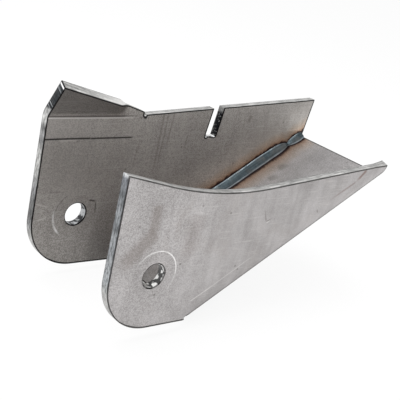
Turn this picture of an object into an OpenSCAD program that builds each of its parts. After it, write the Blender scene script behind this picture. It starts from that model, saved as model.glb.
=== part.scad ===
// Weld-on control arm bracket: a back plate with a folded lip, a front cheek folded into a ramp,
// and the two weld runs that join them. Millimetres, +Z up. The origin is on the bolt axis,
// midway between the two ears; +X runs along the bracket, +Y from the cheek to the back plate.

/* [Sheet] */
// thickness of the steel plate
plate_t = 5; // [4:0.5:6]
// clear width between the two ears
gap = 65; // [55:1:80]

/* [Bolt] */
// diameter of the bolt hole in both ears
bolt_hole_d = 13.2; // [10:0.2:16]

/* [Ears] */
// bolt axis to the straight end of the ears
ear_reach = 25.6; // [23:0.2:30]
// radius of the lower corner of the ears
corner_r = 28.5; // [20:0.5:34]
// bolt axis down to the bottom edge of the front ear
cheek_drop = 28.4; // [25:0.2:32]
// bolt axis down to the bottom edge of the back ear
back_drop = 29.7; // [25:0.2:34]
// fall of the bottom edges away from the ear end, in degrees
ear_fall = 2; // [0:0.5:4]

/* [Cheek top edge] */
// height of the cheek's top edge at the ear end
cheek_h = 52; // [48:0.5:56]
// fall of the top edge from the ear end, in degrees
cheek_fall = 14.7; // [12:0.1:16]
// rise of the top edge towards the tip, in degrees
cheek_rise = 4.9; // [3:0.1:6]
// height of the top edge at the tip
tip_h = 48; // [46:0.5:52]
// radius of the hollow between the two straight runs
hollow_r = 200; // [120:5:240]
// how far the tip's top corner is cut back
tip_cut_w = 1.8; // [0.5:0.1:3]
// height of the cut at the tip
tip_cut_h = 6; // [3:0.5:7]

/* [Ramp] */
// slope of the ramp, in degrees
ramp_angle = 28.3; // [26:0.1:30]
// bolt axis to the underside of the ramp, measured square to it
ramp_drop = 46.9; // [44:0.1:50]
// outer radius of the fold between cheek and ramp
fold_r = 16; // [10:0.5:18]
// where the fold begins, measured along the ramp from the bolt axis
fold_start = 13.5; // [12:0.5:20]
// bolt axis to the end of the ramp
ramp_reach = 162.8; // [150:0.2:175]
// radius of the relief nick at the start of the fold
nick_r = 2.2; // [1:0.1:3]

/* [Back plate top edge] */
// height of the top edge at the relief
plate_h = 54.6; // [53:0.2:58]
// rise of the top edge, in degrees
plate_rise = 4.05; // [2:0.05:6]
// lean of the end edge and of the slot, in degrees
lean = 7.6; // [0:0.1:10]

/* [Slot] */
// bolt axis to the middle of the slot at its mouth
slot_x = 85.8; // [60:0.2:120]
// width of the slot
slot_w = 8.6; // [6:0.2:12]
// depth of the slot along its lean
slot_depth = 17.4; // [8:0.2:20]
// corner radius at the foot of the slot
slot_r = 1.2; // [0.5:0.1:2.5]
// radius of the relief in the foot's left corner
slot_relief_r = 0.9; // [0.5:0.1:1.2]

/* [Lip] */
// height at which the fold of the lip begins
lip_base = 52.4; // [50:0.2:54]
// fold of the lip towards the cheek, in degrees
lip_angle = 32; // [20:1:45]
// length of the lip at the ear end
lip_len = 21.2; // [16:0.2:26]
// inner radius of the fold
lip_r = 5; // [3:0.5:7]
// where the lip stops being folded
lip_end = 15; // [8:0.5:16]
// width of the twist from folded lip to flat plate
lip_twist = 6.5; // [4:0.5:8]
// bolt axis to the relief at the foot of the lip
relief_x = 33.2; // [30:0.2:40]
// height of the plate beside the relief
relief_step = 1.5; // [0.5:0.1:2]
// radius of the pierced hole in the relief
relief_r = 0.9; // [0.5:0.1:1.2]

/* [Weld] */
// leg of the weld runs
weld_leg = 4.8; // [3:0.2:6]
// where the long run begins, along the ramp from the bolt axis
weld_start = 22; // [16:1:40]
// length of the short run, from the neck between the runs to the ramp's end
short_len = 12.8; // [10:0.2:15]
// length over which the long run tapers at its ends
weld_taper = 10; // [8:0.5:16]
// how much of the short run's lens is cut off at the ramp's end
short_cut_len = 3.2; // [2:0.2:6]

/* [Hidden] */
$fn = 96;
// spare length past a face in a cut
past = 1;
// share of its radius by which the nick sits before the fold's start
nick_set = 0.6;
// share of the short run's length taken by each of its tapers
short_taper = 0.45;
// width of the slices that the twist is stretched between
slice = 0.5;
// how far the lip stays inside the faces of its bend, and the twist inside those of the lip
inset = 0.03;
// length of flat sheet drawn with the lip, half of it shared with the plate
lip_foot = 4;
// how far the axis of the weld runs lies behind the two faces they join
weld_root = 0.4;
bead_r = weld_leg + weld_root;
short_run = short_len + short_cut_len;
half_gap = gap / 2;
front_y = -half_gap - plate_t;
far = 2 * ramp_reach;
ramp_top = plate_t - ramp_drop;
fold_n = fold_r - ramp_drop;
// the top edge of the cheek: two straight runs that meet at the knee
fall_t = tan(cheek_fall);
rise_t = tan(cheek_rise);
knee_x = (cheek_h - tip_h - ear_reach * fall_t + ramp_reach * rise_t) / (fall_t + rise_t);
knee_z = tip_h - (ramp_reach - knee_x) * rise_t;
hollow_run = hollow_r * tan((cheek_fall + cheek_rise) / 2);
hollow_tilt = (cheek_fall - cheek_rise) / 2;
hollow_up = hollow_r / cos((cheek_fall + cheek_rise) / 2);
// the lip
lip_tangent = lip_r * tan(lip_angle / 2);
lip_z = lip_base + lip_tangent;
relief_top = plate_h + relief_step;
lip_fall = (lip_z + lip_len - relief_top) / (ear_reach + relief_x);
twist_end = lip_end + lip_twist;
flat_h = lip_len - lip_fall * (ear_reach + twist_end);
bend_h = (lip_r + plate_t / 2) * lip_angle * PI / 180;
// the top edge and the end edge of the back plate
plate_slope = tan(plate_rise);
end_slope = tan(lean);
ramp_foot_z = (ramp_reach * sin(ramp_angle) - ramp_drop) / cos(ramp_angle);
end_z = (plate_h + (ramp_reach - relief_x - ramp_foot_z * end_slope) * plate_slope)
    / (1 - end_slope * plate_slope);
end_x = ramp_reach + (end_z - ramp_foot_z) * end_slope;
// the bottom edges of the ears and the slope of the ramp
ear_slope = tan(ear_fall);
ramp_slope = tan(ramp_angle);
ramp_low = ramp_drop / cos(ramp_angle);
toe_x = (ramp_low - back_drop) / (ramp_slope + ear_slope);
nick_x = (cheek_drop * sin(ramp_angle) + fold_start) / (cos(ramp_angle) - ear_slope * sin(ramp_angle));
slot_z = plate_h + (slot_x - relief_x) * plate_slope;

// where the weld's corner ends, and the neck between the runs, along the ramp
weld_end = (ramp_reach + ramp_top * sin(ramp_angle)) / cos(ramp_angle);
weld_neck = weld_end - short_len;

// stands a drawing of x and z up as a plate whose front face is at y
module stood(y) {
    translate([0, y + plate_t, 0])
        rotate([90, 0, 0])
            linear_extrude(plate_t)
                children();
}

// turns a drawing of y and height above the ramp's base so that it is pushed out along the ramp
module along_ramp() {
    rotate([0, -ramp_angle, 0])
        rotate([90, 0, 90])
            children();
}

// height of an ear's bottom edge at x
function edge_z(drop, x) = -drop - x * ear_slope;

// what is taken off a sharp lower corner to round it
module corner_waste(drop) {
    mid_x = corner_r - ear_reach;
    mid_z = corner_r / cos(ear_fall) + edge_z(drop, mid_x);
    foot_x = mid_x - corner_r * sin(ear_fall);
    difference() {
        polygon([
            [-ear_reach - past, mid_z],
            [-ear_reach - past, edge_z(drop, foot_x) - past],
            [foot_x, edge_z(drop, foot_x) - past],
            [mid_x, mid_z]
        ]);
        translate([mid_x, mid_z])
            circle(corner_r);
    }
}

module bolt_bore() {
    rotate([90, 0, 0])
        cylinder(d = bolt_hole_d, h = gap + 2 * plate_t + 2 * past, center = true);
}

// everything under the cheek's top edge, with the hollow's radius filled in at the knee
module under_top_edge(drop) {
    polygon([
        [-ear_reach, edge_z(drop, -ear_reach)],
        [ramp_reach, edge_z(drop, ramp_reach)],
        [ramp_reach, tip_h - tip_cut_h],
        [ramp_reach - tip_cut_w, tip_h - tip_cut_w * rise_t],
        [knee_x, knee_z],
        [-ear_reach, cheek_h]
    ]);
    difference() {
        polygon([
            [knee_x, knee_z],
            [knee_x + hollow_run * cos(cheek_rise), knee_z + hollow_run * sin(cheek_rise)],
            [knee_x - hollow_run * cos(cheek_fall), knee_z + hollow_run * sin(cheek_fall)]
        ]);
        translate([knee_x + hollow_up * sin(hollow_tilt), knee_z + hollow_up * cos(hollow_tilt)])
            circle(hollow_r, $fn = 360);
    }
}

// section of the folded sheet: cheek leg, quarter bend, ramp leg
module fold_section() {
    translate([front_y, fold_n])
        square([plate_t, far]);
    translate([front_y + fold_r, -ramp_drop])
        square([half_gap - front_y - fold_r, plate_t]);
    intersection() {
        translate([front_y + fold_r, fold_n])
            difference() {
                circle(fold_r);
                circle(fold_r - plate_t);
            }
        translate([front_y, -ramp_drop])
            square(fold_r);
    }
}

module cheek_ramp() {
    color([0.70, 0.68, 0.67])
        difference() {
            union() {
                intersection() {
                    stood(front_y)
                        difference() {
                            under_top_edge(cheek_drop);
                            corner_waste(cheek_drop);
                        }
                    along_ramp()
                        translate([-far, -far, fold_start - far])
                            cube([2 * far, 2 * far, far]);
                }
                intersection() {
                    along_ramp()
                        translate([0, 0, fold_start])
                            linear_extrude(far)
                                fold_section();
                    translate([0, half_gap, 0])
                        rotate([90, 0, 0])
                            linear_extrude(gap + plate_t)
                                under_top_edge(far);
                }
            }
            bolt_bore();
            translate([nick_x - nick_set * nick_r, front_y + fold_r - past, edge_z(cheek_drop, nick_x)])
                rotate([90, 0, 0])
                    cylinder(r = nick_r, h = fold_r);
        }
}

// flat part of the back plate with its ear, slot and relief
module plate_outline() {
    difference() {
        polygon([
            [-ear_reach, edge_z(back_drop, -ear_reach)],
            [toe_x, edge_z(back_drop, toe_x)],
            [ramp_reach, ramp_foot_z],
            [end_x, end_z],
            [relief_x, plate_h],
            [relief_x, relief_top],
            [twist_end, lip_z + flat_h],
            [twist_end, lip_base],
            [lip_end, lip_base],
            [lip_end, lip_base - lip_foot / 2],
            [-ear_reach, lip_base - lip_foot / 2]
        ]);
        corner_waste(back_drop);
        translate([relief_x, plate_h])
            circle(relief_r);
        translate([slot_x, slot_z])
            rotate(-lean)
                slot_cut();
    }
}

module slot_cut() {
    translate([slot_w / 2 - slot_r, slot_r - slot_depth])
        circle(slot_r);
    translate([slot_relief_r - slot_w / 2, -slot_depth])
        circle(slot_relief_r);
    translate([-slot_w / 2, slot_r - slot_depth])
        square([slot_w, slot_depth + slot_w]);
    translate([-slot_w / 2, -slot_depth])
        square([slot_w - slot_r, slot_r]);
}

// section of the lip in y and z: the bend and a leg of the given length
module lip_section(leg) {
    outer_r = lip_r + plate_t;
    translate([half_gap - lip_r, lip_base]) {
        translate([lip_r, -lip_foot])
            square([plate_t, lip_foot]);
        intersection() {
            difference() {
                circle(outer_r);
                circle(lip_r);
            }
            square(2 * outer_r);
            rotate(lip_angle)
                translate([0, -2 * outer_r])
                    square(2 * outer_r);
        }
        rotate(lip_angle)
            translate([lip_r + inset, -slice])
                square([plate_t - 2 * inset, leg + slice]);
    }
}

// pushes a drawing of y and z out along x, from x on
module across(x, depth) {
    translate([x, 0, 0])
        rotate([90, 0, 90])
            linear_extrude(depth)
                children();
}

module lip() {
    bend_end = lip_len - lip_tangent;
    low_end = bend_end - lip_fall * (ear_reach + lip_end);
    near_r = lip_r + 2 * inset;
    far_r = lip_r + plate_t - 2 * inset;
    intersection() {
        across(-ear_reach, ear_reach + lip_end)
            lip_section(lip_len);
        translate([0, half_gap - lip_r, lip_base])
            rotate([lip_angle, 0, 0])
                translate([0, lip_r + plate_t + past, 0])
                    rotate([90, 0, 0])
                        linear_extrude(plate_t + 2 * past + lip_r)
                            polygon([
                                [-ear_reach - past, -lip_len],
                                [lip_end + past, -lip_len],
                                [lip_end + past, low_end - past * lip_fall],
                                [-ear_reach - past, bend_end + past * lip_fall]
                            ]);
    }
    twist(
        [near_r, -lip_foot / 2],
        [far_r, -lip_foot / 2],
        leg_point(far_r, inset),
        leg_point(near_r, inset),
        -lip_foot / 2,
        bend_h
    );
    twist(
        leg_point(near_r, 0),
        leg_point(far_r, 0),
        leg_point(far_r, low_end - inset),
        leg_point(near_r, low_end - inset),
        bend_h - inset,
        lip_tangent + flat_h - inset
    );
}

// part of the twist, from four points of the folded sheet to a stretch of the flat one
module twist(a, b, c, d, low, high) {
    hull() {
        across(lip_end, slice)
            translate([half_gap - lip_r, lip_base])
                polygon([a, b, c, d]);
        across(twist_end - slice, slice)
            translate([half_gap + inset, lip_base + low])
                square([plate_t - 2 * inset, high - low]);
    }
}

// a point of the folded leg, seen from the centre of the bend
function leg_point(r, along) = [
    r * cos(lip_angle) - along * sin(lip_angle),
    r * sin(lip_angle) + along * cos(lip_angle)
];

module back_plate() {
    color([0.46, 0.44, 0.43])
        difference() {
            union() {
                stood(half_gap)
                    plate_outline();
                lip();
            }
            bolt_bore();
        }
}

// half outline of a weld run that swells to its full radius over a taper at both ends
module bead_half(length, taper) {
    bow_r = (taper * taper + bead_r * bead_r) / (2 * bead_r);
    for (end = [taper, length - taper])
        intersection() {
            translate([bead_r - bow_r, end])
                circle(bow_r, $fn = 180);
            translate([0, end - taper])
                square([bead_r, 2 * taper]);
        }
    translate([0, taper])
        square([bead_r, length - 2 * taper]);
}

// a weld run in the corner of ramp and back plate
module bead(start, length, taper) {
    intersection() {
        along_ramp()
            translate([half_gap + weld_root, ramp_top - weld_root, start])
                rotate_extrude()
                    bead_half(length, taper);
        along_ramp()
            translate([half_gap - 2 * bead_r, ramp_top, 0])
                cube([2 * bead_r, 2 * bead_r, far]);
        translate([-far, -far, -far])
            cube([far + ramp_reach, 2 * far, 2 * far]);
    }
}

module long_weld() {
    color([0.24, 0.29, 0.31])
        bead(weld_start, weld_neck - weld_start, weld_taper);
}

module short_weld() {
    color([0.26, 0.31, 0.33])
        bead(weld_neck, short_run, short_taper * short_run);
}

back_plate();
cheek_ramp();
long_weld();
short_weld();
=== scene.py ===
# %% [markdown]
# # Control arm bracket
# A welded steel bracket for a suspension arm: a back plate with a folded lip and a slot, and
# a cheek that is folded over into a ramp. A bolt goes through both ears, and a weld joins the
# ramp to the back plate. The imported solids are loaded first, and every piece made here is in
# their frame, in metres, so nothing has to be fitted later.

import bpy
import numpy as np
from mathutils import Matrix, Vector
from mathutils.geometry import delaunay_2d_cdt


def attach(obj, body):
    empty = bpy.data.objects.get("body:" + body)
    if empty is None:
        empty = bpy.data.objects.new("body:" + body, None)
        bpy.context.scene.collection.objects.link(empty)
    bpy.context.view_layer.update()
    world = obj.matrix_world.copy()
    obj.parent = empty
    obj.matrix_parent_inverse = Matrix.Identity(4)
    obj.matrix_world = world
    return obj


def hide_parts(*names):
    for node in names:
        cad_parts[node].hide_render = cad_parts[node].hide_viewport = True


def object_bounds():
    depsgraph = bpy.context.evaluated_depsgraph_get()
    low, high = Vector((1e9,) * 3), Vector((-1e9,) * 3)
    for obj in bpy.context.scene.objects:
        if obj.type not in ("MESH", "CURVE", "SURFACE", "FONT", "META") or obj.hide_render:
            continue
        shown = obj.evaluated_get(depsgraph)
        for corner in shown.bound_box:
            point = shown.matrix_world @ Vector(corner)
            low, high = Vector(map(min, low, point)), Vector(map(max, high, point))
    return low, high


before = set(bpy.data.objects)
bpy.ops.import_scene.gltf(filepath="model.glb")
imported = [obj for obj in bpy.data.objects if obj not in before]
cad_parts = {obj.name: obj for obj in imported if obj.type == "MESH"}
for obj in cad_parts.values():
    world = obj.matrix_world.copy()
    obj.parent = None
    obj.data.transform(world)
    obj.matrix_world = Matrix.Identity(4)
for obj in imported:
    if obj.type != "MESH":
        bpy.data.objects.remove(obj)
cad_box = [list(corner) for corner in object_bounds()]
print("CAD box", [[round(v, 4) for v in corner] for corner in cad_box])

# %% [markdown]
# ## Sizes
# These are the sizes of the solids, in millimetres. The mesh is made in millimetres too and
# is turned to metres at the end. The ramp has its own two directions: *along* it, and
# *up* from it, square to its face.

# %% Sizes in millimetres
mm = 0.001  # one millimetre in metres
sheet_t, half_gap, bolt_r = 5.0, 32.5, 6.6
cut_burr = 0.35  # the burr of the cut draws the holes and the slot in a little
front_y = -half_gap - sheet_t
ear_reach, ear_corner_r, ear_turn = 25.6, 28.5, 2.0
ear_fall = np.tan(np.radians(ear_turn))
ramp_tilt = np.radians(28.3)
ramp_reach, ramp_drop, fold_r, fold_start = 162.8, 46.9, 16.0, 13.5
fold_up = fold_r - ramp_drop
ramp_top = sheet_t - ramp_drop
along_dir = np.array([np.cos(ramp_tilt), np.sin(ramp_tilt)])
up_dir = np.array([-np.sin(ramp_tilt), np.cos(ramp_tilt)])
print("ramp direction", along_dir.round(4))

# %% [markdown]
# ## Drawing an outline
# A sheet-metal part starts as a flat drawing: straight edges and arcs that close on
# themselves. An arc is a circle's formula over an array of angles, and the straight runs are
# filled with evenly spaced points, so that the edge can later be rounded and bent.

# %% Outline helpers
def arc(centre, radius, start, stop, step=0.8):
    """Points at centre + radius * (cos a, sin a), for angles a in degrees from start to stop."""
    count = max(6, int(abs(np.radians(stop - start)) * radius / step))
    a = np.radians(np.linspace(start, stop, count))
    return np.stack([centre[0] + radius * np.cos(a), centre[1] + radius * np.sin(a)], axis=1)


def filled(corners, step=1.2):
    """Closed path through the corners: between two of them a point every step, p + t * (q - p)."""
    ends = np.roll(corners, -1, axis=0)
    counts = np.maximum(np.ceil(np.linalg.norm(ends - corners, axis=1) / step - 0.01).astype(int), 1)
    first = np.repeat(np.cumsum(counts) - counts, counts)
    t = ((np.arange(counts.sum()) - first) / np.repeat(counts, counts))[:, None]
    return np.repeat(corners, counts, axis=0) * (1 - t) + np.repeat(ends, counts, axis=0) * t


def ease(t):
    """Smooth step: 3t^2 - 2t^3 between 0 and 1, flat outside."""
    t = np.clip(t, 0.0, 1.0)
    return t * t * (3 - 2 * t)


bolt_hole = arc((0, 0), bolt_r - cut_burr, 360, 0, 0.7)[:-1]
print("bolt hole", len(bolt_hole), "points")

# %% [markdown]
# ## From a flat pattern to a folded sheet
# The sheet could be a solid cut with booleans and bevelled, but a folded sheet is better
# made the way the press makes it: cut flat, then bent by a formula. The two faces are a grid
# of points that is trimmed by the outlines. The cut edge is a small profile with rounded
# corners that is carried along each outline, so light catches the edges as it does on steel.

# %% Offsets and trimming
def inward(path):
    """Mitre at each point of a closed path: the sum of the two edge normals over 1 + their dot."""
    forward = np.roll(path, -1, axis=0) - path
    forward /= np.linalg.norm(forward, axis=1)[:, None]
    after = np.stack([-forward[:, 1], forward[:, 0]], axis=1)
    before = np.roll(after, 1, axis=0)
    return (before + after) / np.maximum(1 + (before * after).sum(axis=1), 0.4)[:, None]


def inside(points, paths):
    """Even-odd rule: True where a ray towards +x crosses the closed paths an odd number of times."""
    a = np.concatenate(paths)
    b = np.concatenate([np.roll(path, -1, axis=0) for path in paths])
    px, py = points[:, :1], points[:, 1:]
    spans = (a[:, 1] > py) != (b[:, 1] > py)
    rise = np.where(b[:, 1] == a[:, 1], 1.0, b[:, 1] - a[:, 1])
    cross = a[:, 0] + (py - a[:, 1]) * (b[:, 0] - a[:, 0]) / rise
    return ((spans & (cross > px)).sum(axis=1) % 2) == 1


def cleared(line, edge, least):
    """The line's points that are no nearer to the edge's points than least: an offset without loops."""
    gaps = ((line[:, None, :] - edge[None, :, :]) ** 2).sum(axis=2).min(axis=1)
    return line[gaps >= least ** 2]


def trimmed_grid(paths, guard, columns, rows):
    """Triangles between the paths: through the paths, a guard line along each, and the grid points that lie
    inside. A triangle with path points only may lie outside, or be a sliver on a straight run; both go."""
    grid = np.stack(np.meshgrid(columns, rows), axis=-1).reshape(-1, 2)
    rim = np.concatenate(guard)
    near = np.min(((grid[:, None, :] - rim[None, :, :]) ** 2).sum(axis=2), axis=1)
    grid = grid[inside(grid, guard) & (near > 0.5)]
    points = np.concatenate(paths + guard + [grid])
    sizes = [len(path) for path in paths + guard]
    starts = np.cumsum([0] + sizes)[:-1]
    edges = np.concatenate([np.stack([s + np.arange(c), s + (np.arange(c) + 1) % c], axis=1)
                            for s, c in zip(starts, sizes)])
    found = delaunay_2d_cdt([Vector(p) for p in points], edges.tolist(), [], 0, 1e-6, True)
    origin = np.array([ids[0] for ids in found[3]])
    tris = origin[np.array(found[2])]
    p, q, r = points[tris].transpose(1, 2, 0)
    area = ((q - p)[0] * (r - p)[1] - (q - p)[1] * (r - p)[0]) / 2
    deep = (tris >= sum(len(path) for path in paths)).any(axis=1)
    return points, tris[deep | (inside(points[tris].mean(axis=1), paths) & (area > 0.0005))]


print("mitre at a square's corners", inward(np.array([[0, 0], [1, 0], [1, 1], [0, 1]], float)).tolist())

# %% [markdown]
# ## Mesh and sheet
# The arrays go into a mesh in one call. Material 0 is the sheet's face and material 1 the cut edge with the
# narrow dark strip that borders the faces, painted shade of the rounded edge. The UV map holds millimetres
# along the cut and across it, so that the pattern of the cut can follow the edge.

# %% One mesh from arrays
def make_piece(name, places, faces, corner_uv, kinds):
    """Puts places (mm), faces, corner UVs (mm) and material numbers into one smooth mesh at the origin."""
    mesh = bpy.data.meshes.new(name)
    mesh.from_pydata((places * mm).tolist(), [], sum([f.tolist() for f in faces], []))
    mesh.uv_layers.new(name="run").data.foreach_set("uv", (corner_uv * mm).astype(np.float32).ravel())
    mesh.polygons.foreach_set("material_index", kinds.astype(np.int32))
    mesh.polygons.foreach_set("use_smooth", np.ones(len(kinds), bool))
    mesh.set_sharp_from_angle(angle=np.radians(42))
    mesh.validate()
    piece = bpy.data.objects.new(name, mesh)
    bpy.context.scene.collection.objects.link(piece)
    print(name, len(mesh.vertices), "points", len(mesh.polygons), "faces")
    return piece


print("lengths are times", mm, "in the mesh")

# %% The folded sheet
def folded_sheet(name, paths, columns, rows, fold, entry, edge_r=0.4, strip=0.19, spread=0.5):
    """Sheet with rounded cut edges. Outline first, anticlockwise, then the cut-outs, clockwise.
    Edge profile: inset r(1 - sin t), depth r(1 - cos t) at both faces; fold(flat, depth) bends it all.
    A dark strip borders the faces, painted as the shade of the rounded edge; on the outline it is painted
    wider by up to spread where the edge looks away from entry, the side the lamps light it from."""
    t = np.radians([0, 30, 60, 90])
    inset = np.concatenate([edge_r * (1 - np.sin(t)), edge_r * (1 - np.sin(t[::-1]))])
    depth = np.concatenate([edge_r * (1 - np.cos(t)), sheet_t - edge_r * (1 - np.cos(t[::-1]))])
    edge, cut = np.concatenate(paths), len(np.concatenate(paths))
    mitre = [inward(path) for path in paths]
    rim = [path + m * edge_r for path, m in zip(paths, mitre)]
    widths = [spread] + [0.0] * (len(paths) - 1)
    offset = [edge_r + strip + w * ease((m @ entry + 0.25) / 0.35) for m, w in zip(mitre, widths)]
    guard = [cleared(path + m * o[:, None], edge, 0.97 * o) for path, m, o in zip(paths, mitre, offset)]
    flat, tris = trimmed_grid(rim, guard, columns, rows)
    wall = edge + np.concatenate(mitre) * inset[:, None, None]
    wall_depth = np.repeat(depth[:, None], cut, axis=1)
    inner = flat[cut:]
    places = np.concatenate([fold(wall, wall_depth).reshape(-1, 3), fold(inner, np.zeros(len(inner))),
                             fold(inner, np.full(len(inner), sheet_t))])
    rings, last = len(inset), (len(inset) - 1) * cut
    sizes = [len(path) for path in paths]
    after = np.concatenate([s + np.roll(np.arange(n), -1) for s, n in zip(np.cumsum([0] + sizes), sizes)])
    here, level = np.arange(cut), np.arange(rings - 1)[:, None] * cut
    quads = np.stack([level + here, level + cut + here, level + cut + after, level + after], axis=-1)
    front = np.where(tris < cut, tris, tris + last)
    back = np.where(tris < cut, tris + last, tris + last + len(inner))[:, ::-1]
    length = np.linalg.norm(edge[after] - edge, axis=1)
    run = np.concatenate([np.cumsum(part) - part for part in np.split(length, np.cumsum(sizes)[:-1])])
    wide = np.broadcast_to(run, (rings - 1, cut))
    deep = np.broadcast_to(depth[:, None], (rings, cut))
    quad_uv = np.stack([np.stack(pair, axis=-1) for pair in [
        (wide, deep[:-1]), (wide, deep[1:]), (wide + length, deep[1:]), (wide + length, deep[:-1])]], axis=2)
    # the triangles that touch the cut get the edge material: a dark strip painted as the rounded edge's shade
    edge_shade = (tris < cut).any(axis=1)
    face_uv = flat[tris] * np.where(edge_shade, 0, 1)[:, None, None]
    corner_uv = np.concatenate([part.reshape(-1, 2) for part in (quad_uv, face_uv, face_uv[:, ::-1])])
    kinds = np.concatenate([np.ones(quads.shape[0] * cut), edge_shade, edge_shade])
    return make_piece(name, places, [quads.reshape(-1, 4), front, back], corner_uv, kinds)


print("sheet of", sheet_t, "mm, from y", front_y, "to", half_gap + sheet_t, "mm")

# %% [markdown]
# ## Back plate
# The back plate is cut from 5 mm sheet: an ear with a rounded corner round the bolt hole, a
# wing that follows the ramp, a slot, and a lip along the top left that is bent forward. The
# bend runs out just before the small relief cut, so the sheet twists from bent to flat there.
# Bending the flat pattern by an angle that eases off along x gives that twist for free.

# %% Sizes of the lip and the slot
lip_base, lip_r, lip_len, lip_turn = 52.4, 5.0, 21.2, np.radians(32)
lip_full_x, lip_flat_x = 13.0, 22.5
relief_x, relief_step, relief_r = 33.2, 1.5, 0.9
plate_h, plate_rise, plate_lean = 54.6, np.tan(np.radians(4.05)), np.radians(7.6)
back_drop, end_lean = 29.7, 3.955
slot_x, slot_w, slot_depth, slot_r, slot_relief_r = 85.8, 8.6, 17.4, 1.2, 0.9
lip_tangent = lip_r * np.tan(lip_turn / 2)
lip_top = lip_base + lip_tangent + lip_len
lip_fall = (lip_top - plate_h - relief_step) / (ear_reach + relief_x)
lip_arc = (lip_r + sheet_t / 2) * lip_turn
bend_spare = lip_arc - 2 * lip_tangent
lip_leg = lip_top + bend_spare - lip_base - lip_arc
lip_crest = lip_base * np.cos(lip_turn) - (half_gap - lip_r) * np.sin(lip_turn) + lip_leg
print("lip is", round(lip_leg, 2), "mm long past its bend")

# %% Back plate outline
def lip_share(x):
    """1 where the lip is fully bent, easing to 0 where the plate is flat."""
    return ease((lip_flat_x - x) / (lip_flat_x - lip_full_x))


def plate_top(x):
    """Height of the plate's rising top edge at x."""
    return plate_h + (x - relief_x) * plate_rise


def slot_path():
    """Mouth to mouth round the slot, clockwise, with a round relief at the lower left corner."""
    half = slot_w / 2 - cut_burr
    relief = arc((slot_relief_r - half, -slot_depth), slot_relief_r, 180, 360, 0.25)
    corner = arc((half - slot_r, slot_r - slot_depth), slot_r, 270, 360, 0.25)
    flat = np.concatenate([[[-half, 0.0]], relief, corner, [[half, 0.0]]])
    turn = np.array([[np.cos(plate_lean), -np.sin(plate_lean)], [np.sin(plate_lean), np.cos(plate_lean)]])
    path = np.array([slot_x, plate_top(slot_x)]) + flat @ turn
    path[[0, -1], 1] = plate_top(path[[0, -1], 0])
    return path


def ear_corner(drop):
    """The rounded lower corner of an ear, tangent to its left edge and its sloping bottom edge."""
    mid_x = ear_corner_r - ear_reach
    mid = (mid_x, ear_corner_r / np.cos(np.radians(ear_turn)) - drop - mid_x * ear_fall)
    return arc(mid, ear_corner_r, 180, 270 - ear_turn)


foot_z = (ramp_reach * np.sin(ramp_tilt) - ramp_drop) / np.cos(ramp_tilt)
toe_x = (ramp_drop / np.cos(ramp_tilt) - back_drop) / (np.tan(ramp_tilt) + ear_fall)
end_x = ramp_reach + end_lean
lip_x = np.linspace(relief_x - relief_r / 2, -ear_reach, 60)
lip_line = np.stack([lip_x, lip_top - lip_fall * (lip_x + ear_reach) + bend_spare * lip_share(lip_x)], axis=1)
back_outline = filled(np.concatenate([
    ear_corner(back_drop),
    [[toe_x, -back_drop - toe_x * ear_fall], [ramp_reach, foot_z], [end_x, plate_top(end_x)]],
    slot_path()[::-1],
    arc((relief_x + relief_r / 2, plate_h), relief_r, 4, -180, 0.25),
    lip_line,
]))
print("back plate outline", len(back_outline), "points")

# %% Back plate bent to shape
def bend_lip(flat, depth):
    """Above lip_base the height runs along an arc of radius lip_r up to the angle turn(x), then straight."""
    x, height = flat[..., 0], flat[..., 1] - lip_base
    turn = lip_turn * lip_share(x)
    middle_r = lip_r + sheet_t / 2
    angle = np.clip(height / middle_r, 0, turn)
    leg = np.maximum(height - middle_r * turn, 0)
    r = lip_r + depth
    y = half_gap - lip_r + r * np.cos(angle) - leg * np.sin(turn)
    z = lip_base + r * np.sin(angle) + leg * np.cos(turn) + np.minimum(height, 0)
    return np.stack([x, y, z], axis=-1)


plate_columns = np.concatenate([np.arange(-24, 12, 3.0), np.arange(12, 23, 0.8), np.arange(24, 167, 4.0)])
plate_rows = np.concatenate([np.arange(-30, 50, 4.0), np.arange(51.6, 57.5, 0.42), np.arange(58, 77, 1.5)])
# the side the lamps light the plate from, in x and z: edges facing away from it get a wider strip of painted
# shade
beam_entry = np.array([-0.88, 0.47])
back_plate = folded_sheet("bent_back_plate", [back_outline, bolt_hole], plate_columns, plate_rows,
                          bend_lip, beam_entry)

# %% [markdown]
# ## Cheek and ramp
# The front cheek and the ramp are one sheet. The cheek's lower part is bent through a right
# angle on a 16 mm radius and becomes the ramp that runs back to the plate. The ear is left
# flat, with a small round nick where the bend starts. The pattern is drawn in the ramp's own
# directions, so the bend line is the axis where the second coordinate is zero.

# %% The ramp's own directions
def on_cheek(points):
    """Cheek points (x, z) as (distance along the ramp, distance above the bend line)."""
    points = np.asarray(points, float)
    return np.stack([points @ along_dir, points @ up_dir - fold_up], axis=1)


def bend_middle(width):
    """Height of the sheet's middle above the ramp's base plane, for a distance width above the bend line."""
    angle = np.clip(-width / (fold_r - sheet_t / 2), 0, np.pi / 2)
    return fold_up - (fold_r - sheet_t / 2) * np.sin(angle) + np.maximum(width, 0)


print("the bolt is", round(on_cheek([[0, 0]])[0, 1], 1), "mm above the bend line")

# %% Hollow top edge
cheek_h, cheek_drop, tip_h, tip_cut_w, tip_cut_h = 52.0, 28.4, 48.0, 1.8, 6.0
fall, rise = np.radians(14.7), np.radians(4.9)
hollow_r = 200.0
knee_x = cheek_h - ear_reach * np.tan(fall) - tip_h + ramp_reach * np.tan(rise)
knee_x /= np.tan(fall) + np.tan(rise)
knee = np.array([knee_x, tip_h - (ramp_reach - knee_x) * np.tan(rise)])
rise_dir = np.array([np.cos(rise), np.sin(rise)])
hollow_run = hollow_r * np.tan((fall + rise) / 2)
hollow_mid = knee + hollow_run * rise_dir + hollow_r * np.array([-rise_dir[1], rise_dir[0]])
hollow = arc(hollow_mid, hollow_r, 270 + np.degrees(rise), 270 - np.degrees(fall), 1.0)
print("the two straight runs would meet at", knee.round(1))

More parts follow.
